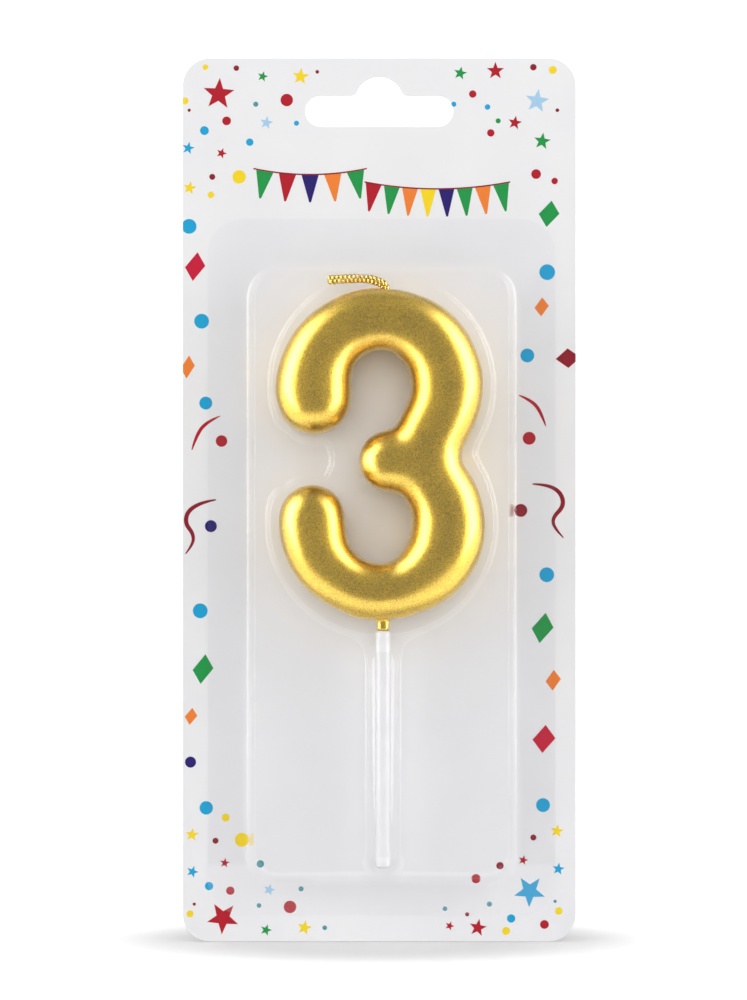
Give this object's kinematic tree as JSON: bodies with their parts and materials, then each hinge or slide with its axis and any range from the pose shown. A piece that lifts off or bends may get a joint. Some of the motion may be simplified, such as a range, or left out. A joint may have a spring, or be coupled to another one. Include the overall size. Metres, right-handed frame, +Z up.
{
  "type": "number birthday candle",
  "caption": "Gold number-three wax candle with braided wick and white pick, in a clear blister sealed to a hang card with a euro slot.",
  "frame": {"origin": "on the card's back face, at the top of the hang slot, where the slot bears on a peg", "axes": "+Z up along the card, -Y out of its printed front, +X to the right as the front is seen"},
  "size_m": [0.085, 0.0164, 0.1909],
  "materials": {
    "paperboard": "coated white paperboard, printed",
    "clear_sheet": "clear glossy thermoformed sheet",
    "gold_wax": "wax with gold metallic lacquer",
    "white_plastic": "semi-gloss",
    "gold_braid": "braided cotton, gold lacquered"
  },
  "bodies": {
    "card": {"hang_card": "paperboard"},
    "blister": {"clear_blister": "clear_sheet"},
    "candle": {"wax_numeral_3": "gold_wax", "candle_pick": "white_plastic", "braided_wick": "gold_braid"}
  },
  "joints": [
    {"name": "blister_peel", "type": "hinge", "parent": "card", "child": "blister", "pos_m": [-0.03705, -0.00085, -0.106], "axis": [0, 0, -1], "range_deg": [0, 105]},
    {"name": "candle_lift_out", "type": "slide", "parent": "card", "child": "candle", "axis": [0, -1, 0], "range_m": [0, 0.026]}
  ],
  "couplings": [
    {"joint": "candle_lift_out", "follows": "blister_peel", "m_per_rad": 0.014}
  ]
}
